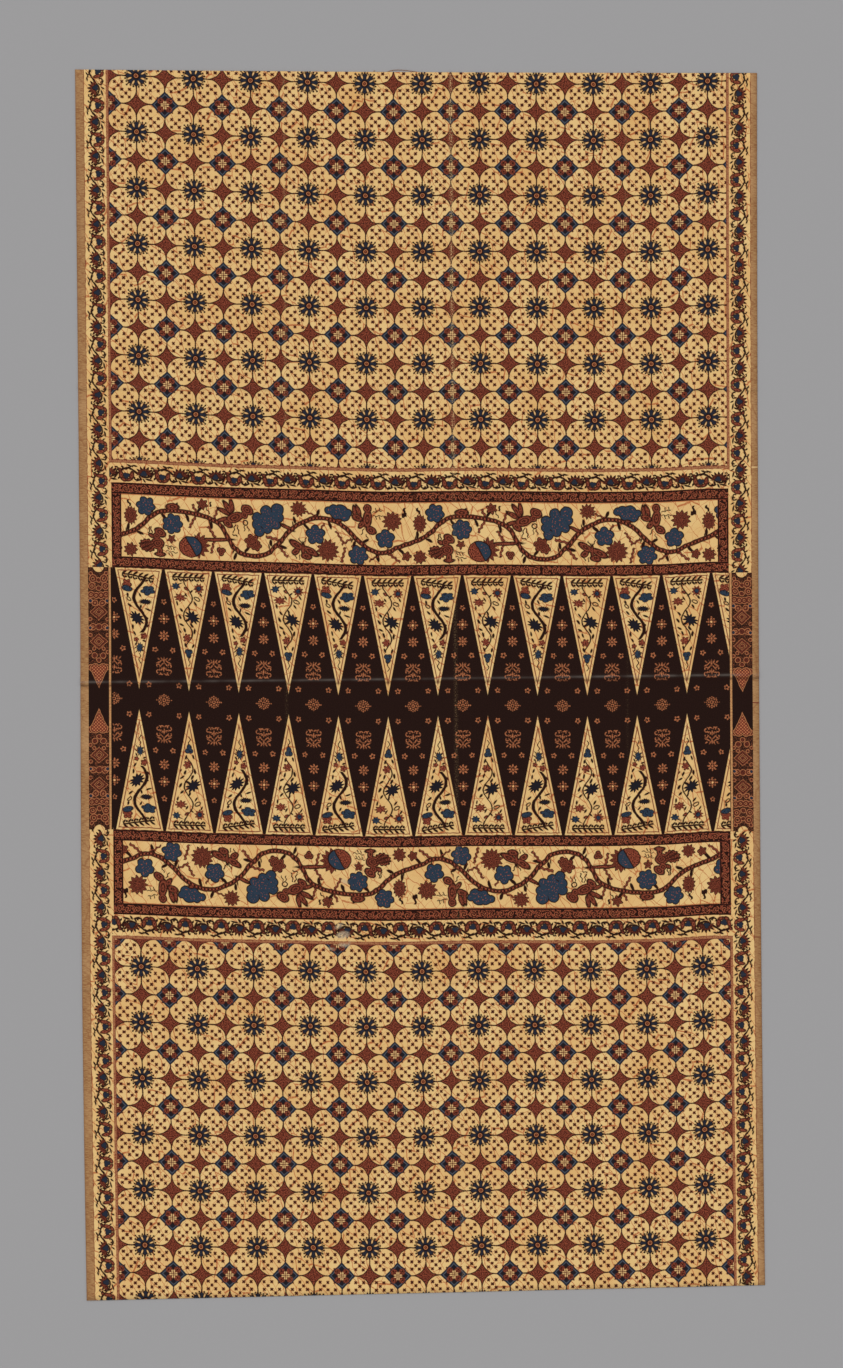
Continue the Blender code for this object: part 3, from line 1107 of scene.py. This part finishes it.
    # a crown of scrolls
    crown = join(
        many(hook, spot, (
            (8.8, 160, 2.7, 0.8, 150), (3.4, 162.6, 2.2, 0.8, 250), (8.8, 151, 2.3, 0.8, 120),
            (4.6, 155.4, 2, 0.8, 300),
        )),
        ovals(spot, (
            (0, 156, 1.2, 4.2, 0), (4, 149.6, 4.2, 0.9, 48), (5.6, 144.4, 3.8, 0.9, 40),
            (0, 142.6, 1.1, 4.6, 0), (9.2, 146, 2.6, 0.8, 30), (3.4, 140.6, 2.8, 0.9, -60),
            (8.8, 140.6, 2.4, 1.1, -40), (6, 164.4, 2.2, 0.9, 20),
        )),
    )
    depth = minus((layout["headEnd"] - layout["headTop"]) / 2, down)
    quarter = pair(g, unsigned(depth))
    cluster = join(ring(quarter, 0, 0, 2.3, 0.75), many(disc, quarter, (
        (5.4, 0, 1.3), (8.7, 0, 1.2), (11.6, 0, 1), (0, 5.3, 1.2), (0, 8.4, 1.2),
        (4.2, 4, 1.4), (7.2, 3, 1.1), (2.9, 7, 1.1), (6.4, 6, 0.9),
    )))
    gold = join(small, crossShape, eight, crown, cluster)
    broken = times(ink(gold), step(pen["grain"], 0.28, 0.5))
    ground = paint(ground, broken, shaded(dyes["goldDeep"], fine, 0.45, 0.6, "gold"))
    ground = dyed(ground, disc(spot, 0, 77.5, 1.4), "goldPale")
    colour = paint(colour, ink(outside(inside), 0.35), ground)
    return closeTree(pen, colour)


def headBorderPrint():
    pen = openTree("head_border")
    along, across = split(pen["motif"])
    fine = speckle(pen["sheet"], 0.9, 1)
    colour = shaded(dyes["ground"], fine, 0.5, 0.9, "groundPale")
    wide = 32.5
    y = unsigned(minus(across, wide / 2))
    spot = pair(along, y)
    # fine tendrils fill the ground above the heart
    tendrils = within(speckle(pen["sheet"], 0.4, 0), 0.5, 0)
    tendrils = times(step(tendrils, 0.055, 0.02), calc("LESS_THAN", along, 150))
    colour = paint(colour, times(tendrils, 0.8), dyes["goldDeep"])
    # lozenges, rounds and rings, brown with a pale line round each
    shapes = []
    for at in (70, 116):
        lozenge = plus(unsigned(minus(along, at)), times(y, 0.9))
        shapes += [within(lozenge, 9.6, 2.3), minus(lozenge, 3.6)]
    shapes += [disc(spot, *row) for row in (
        (33, 0, 3.4), (93, 0, 4.4), (138, 6.6, 4), (145, 0, 3), (20, 0, 3.2), (106, 13.4, 2.2),
        (81, 13.6, 2.2), (132, 13.6, 2), (10, 12, 2.4), (127, 7.4, 2.2),
    )]
    shapes += [ring(spot, *row, 1.3) for row in (
        (18, 8.6, 4.2), (29.5, 10.5, 3.6), (43, 11.6, 3.4), (44, 4, 3.2), (93, 9, 3.2), (56, 6, 2.8),
        (156, 12.4, 2.6),
    )]
    point = timesPlus(minus(along, 158), 0.41, timesPlus(y, 0.913, -11.6))
    heart = join(disc(spot, 158, 5.8, 7), common(point, minus(158, along)))
    figures = join(*shapes)
    worn = step(pen["grain"], 0.26, 0.44)
    colour = dyed(colour, minus(figures, 0.8), "gold", share=worn)
    fill = shaded(dyes["ground"], fine, 0.38, 0.62, "soga")
    colour = paint(colour, ink(figures), fill)
    beads = times(sine(times(along, 1.25)), cosine(times(y, 1.25)))
    beads = shaded(dyes["soga"], beads, 0.15, 0.5, "gold")
    colour = dyed(colour, minus(heart, 0.9), "gold")
    colour = dyed(colour, heart, "ground")
    colour = paint(colour, ink(plus(heart, 0.9)), beads)
    dots = join(disc(spot, 52.5, wide / 2 - 3, 2.6), disc(spot, 94.8, wide / 2 - 3, 2.6))
    colour = dyed(colour, minus(dots, 1), "gold")
    colour = dyed(colour, dots, "indigo")
    # the cream border's rounded end, and the light line beside the panels
    colour = motifDye(colour, disc(spot, -1, 0, 8.5), creamDye(pen))
    plainAcross = split(pen["plain"])[1]
    colour = dyed(colour, minus(wide - 1.2, plainAcross), "ground", 0.3)
    rail = shaded(dyes["frame"], pen["grain"], 0.3, 0.9, "creamDeep")
    colour = paint(colour, ink(within(plainAcross, wide + 1.2, 1.6), 0.3), rail)
    return closeTree(pen, colour)


def stripPrint():
    pen = openTree("strip")
    across = split(pen["plain"])[1]
    u, v = split(pen["sheet"])
    flat = pair(u, v)
    hatch = speckle(placed(flat, 0, 0, 0, 7, 1.1), 1, 2, 0.6)
    colour = shaded(dyes["strip"], hatch, 0.38, 0.68, "stripDark")
    colour = paint(colour, times(step(pen["cloud"], 0.45, 0.75), 0.4), dyes["stripPale"])
    streaks = crackle(pen["bend"], 17, 0.7, 30, 3)
    colour = paint(colour, times(streaks, 0.55), dyes["stripDark"])
    # short marks across the right strip where the cloth was folded
    marks = join(within(v, 981, 0.9), within(v, 1352, 0.7))
    onRight = calc("GREATER_THAN", u, 1000)
    colour = dyed(colour, marks, "soga", share=onRight)
    pale = ink(within(v, 610, 1), 0.6)
    colour = paint(colour, times(pale, onRight), dyes["wornCream"])
    # faint darker line on the very selvedge
    colour = dyed(colour, minus(across, 1.2), "stripDark", 0.8, share=0.5)
    return closeTree(pen, colour)


def buildCloth():
    columns = columnPlaces()
    counts = rowCounts()
    rows = sum(counts) + 1
    bpy.ops.object.select_all(action="DESELECT")
    bpy.ops.mesh.primitive_grid_add(
        x_subdivisions=len(columns) - 1, y_subdivisions=rows - 1, size=1.0, location=(0, 0, 0)
    )
    piece = bpy.context.object
    piece.name = "sarong_batik"
    mesh = piece.data
    middle = ((cloth["width"] + cloth["rightLean"]) / 2, -cloth["leftLength"] / 2)
    prints = [None] * len(mesh.vertices)
    wearAndShade = mesh.attributes.new("wearAndShade", "FLOAT_COLOR", "POINT")
    for c, across in enumerate(columns):
        heights = divided(rowAnchors(across), counts)
        top, bottom = topY(across), bottomY(across)
        for r, height in enumerate(heights):
            down = (-height / 1000 - top) / (bottom - top)
            index = (rows - 1 - r) * len(columns) + c
            shifted = across
            for fold in lengthwiseFolds:
                apart = abs(across - fold["place"]) * cloth["width"]
                fade = math.exp(-((apart / cloth["driftReach"]) ** 2))
                if 0 < across < 1:
                    shifted += fold["drift"] / cloth["width"] * fade * math.cos(math.pi * down)
            x = leftX(down) + shifted * (rightX(down) - leftX(down)) - middle[0]
            y = -height / 1000 - middle[1]
            rise = grey = cream = creaseShadow = 0.0
            for number, fold in enumerate(lengthwiseFolds):
                apart = abs(across - fold["place"]) * cloth["width"] / fold["reach"]
                if apart < 1:
                    swell = swellAt(fold, number, down)
                    rise = max(rise, ridgeAt(fold, swell, apart))
                    row = printAt(shifted, height)
                    kept = 1.0 if row < layout["fieldEnd"] else 0.35
                    kept = 0.15 if layout["fieldEnd"] < row < layout["fieldStart"] else kept
                    cream = max(cream, kept * fold["wearAndShade"] * max(0.0, 1 - apart / 0.45))
            for number, fold in enumerate(crosswiseFolds):
                drift = fold["drift"] * math.cos(math.pi * across)
                line = heightOf(across, fold["place"]) / 1000 + drift
                below = (height / 1000 - line) / fold["reach"]
                apart = abs(below)
                # painted shadow just below the fold's ridge, on its side turned from the light
                creaseShadow = max(creaseShadow, fold["wearAndShade"] * max(0.0, 1 - abs(below - 0.6) / 0.4))
                if apart < 1:
                    swell = swellAt(fold, number, across)
                    rise = max(rise, ridgeAt(fold, swell, apart))
                    # pale grey on the crest: rubbed dye and painted highlight
                    grey = max(grey, cloth["greyWearAndHighlight"] * fold["wearAndShade"] * swell * max(0.0, 1 - apart / 0.3))
            ripple = cloth["ripple"] * noise.noise(Vector((x * 14, y * 9, 3.1)))
            mesh.vertices[index].co = (x, y, cloth["top"] + rise + ripple)
            prints[index] = (shifted * 1000 * cloth["width"], printAt(shifted, height))
            wearAndShade.data[index].color = (grey, cream, creaseShadow, 1.0)
    mesh.uv_layers.new(name="print")
    mesh.uv_layers.new(name="motif")
    for old in [layer for layer in mesh.uv_layers if layer.name not in ("print", "motif")]:
        mesh.uv_layers.remove(old)
    sheetMap = mesh.uv_layers["print"]
    motifMap = mesh.uv_layers["motif"]
    for face in mesh.polygons:
        corners = [prints[i] for i in face.vertices]
        u = sum(p[0] for p in corners) / len(corners)
        v = sum(p[1] for p in corners) / len(corners)
        zone, local = zoneOf(u, v)
        face.material_index = zoneNames.index(zone)
        for loop, place in zip(face.loop_indices, corners):
            sheetMap.data[loop].uv = place
            motifMap.data[loop].uv = local(*place)
    return piece


materials = {
    "field": fieldPrint(),
    "border": borderPrint(),
    "scroll": scrollPrint(),
    "flowers": flowersPrint(),
    "head": headPrint(),
    "headBorder": headBorderPrint(),
    "strip": stripPrint(),
}
print("print drawn:", {name: len(m.node_tree.nodes) for name, m in materials.items()})

sarong = buildCloth()
for name in zoneNames:
    sarong.data.materials.append(materials[name])
sarong.data.shade_smooth()
wall = sarong.modifiers.new("wall", "SOLIDIFY")
wall.thickness = cloth["thickness"]
wall.offset = -1
bpy.ops.object.modifier_apply(modifier=wall.name)
print("cloth made:", len(sarong.data.polygons), "faces")
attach(sarong, "root")
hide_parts("sarong_cloth")

# threads drawn out of the top end: across from the left, in metres, with how far each stands out
threads = (
    {"from": 0.485, "to": 0.540, "out": 0.0042, "peak": 0.35},
    {"from": 0.462, "to": 0.468, "out": 0.0030, "peak": 0.8},
    {"from": 0.872, "to": 0.883, "out": 0.0035, "peak": 0.6},
)
threadRadius = 0.0004
threadHeight = 0.0007  # of its middle line above the ground
threadHold = 0.0008  # how deep both ends sit in the cloth
threadStops = 9  # straight parts of its bend


def plainMaterial(name, colour, roughness):
    material = bpy.data.materials.new(name)
    material.use_nodes = True
    shader = material.node_tree.nodes["Principled BSDF"]
    shader.inputs["Base Color"].default_value = colour
    shader.inputs["Roughness"].default_value = roughness
    return material


threadMaterial = plainMaterial("cotton_thread", dyes["stripDark"], 0.85)


def buildThread(number, thread):
    # a bent round bar, both ends held in the cloth's end
    bpy.ops.object.select_all(action="DESELECT")
    bpy.ops.mesh.primitive_cylinder_add(
        vertices=6, radius=threadRadius, depth=1.0, end_fill_type="NGON", rotation=(0, math.pi / 2, 0)
    )
    piece = bpy.context.object
    piece.name = "sarong_thread_" + str(number)
    bpy.ops.object.transform_apply(rotation=True)
    bpy.ops.object.mode_set(mode="EDIT")
    for k in range(1, threadStops):
        bpy.ops.mesh.select_all(action="SELECT")
        bpy.ops.mesh.bisect(plane_co=(k / threadStops - 0.5, 0, 0), plane_no=(1, 0, 0))
    bpy.ops.object.mode_set(mode="OBJECT")
    middle = (cloth["width"] + cloth["rightLean"]) / 2
    for vertex in piece.data.vertices:
        t = vertex.co.x + 0.5
        along = thread["from"] + t * (thread["to"] - thread["from"])
        # rises quickly to its peak and falls back slowly
        lean = t ** (math.log(0.5) / math.log(thread["peak"]))
        out = thread["out"] * math.sin(math.pi * lean) - threadHold
        x = along - middle
        y = topY(along / cloth["width"]) + cloth["leftLength"] / 2 + out
        vertex.co = (x, y + vertex.co.y, threadHeight + vertex.co.z)
    piece.data.shade_smooth()
    piece.data.materials.append(threadMaterial)
    return piece


for number, thread in enumerate(threads, 1):
    piece = buildThread(number, thread)
    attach(piece, "root")

# floor, light and camera
setting = {
    "cameraHeight": 6.0,
    "frameLong": 2.1324,  # what the picture's long side takes in
    "centre": (0.0023, 0.0016),
    "floor": dye(153, 152, 153),
    "world": 0.7,
    "key": 1.25,
    "keyPlace": (-0.8, 2.6, 3.4),
    "keyAngle": 0.3,
}
bpy.ops.mesh.primitive_plane_add(size=14, location=(0, 0, 0))
floor = bpy.context.object
floor.name = "floor"
floor.data.materials.append(plainMaterial("floor_paint", setting["floor"], 0.9))

world = bpy.data.worlds.new("soft_room")
world.use_nodes = True
world.node_tree.nodes["Background"].inputs["Color"].default_value = (1, 1, 1, 1)
world.node_tree.nodes["Background"].inputs["Strength"].default_value = setting["world"]
bpy.context.scene.world = world
bpy.ops.object.light_add(type="SUN", location=setting["keyPlace"])
key = bpy.context.object
key.data.angle = setting["keyAngle"]
key.data.energy = setting["key"]
key.rotation_euler = Vector(setting["keyPlace"]).to_track_quat("Z", "Y").to_euler()
bpy.context.scene.view_settings.view_transform = "Standard"

bpy.ops.object.camera_add(location=(*setting["centre"], setting["cameraHeight"]), rotation=(0, 0, 0))
camera = bpy.context.object
camera.data.sensor_width = 36
camera.data.lens = 36 * (setting["cameraHeight"] - cloth["top"]) / setting["frameLong"]
bpy.context.scene.camera = camera
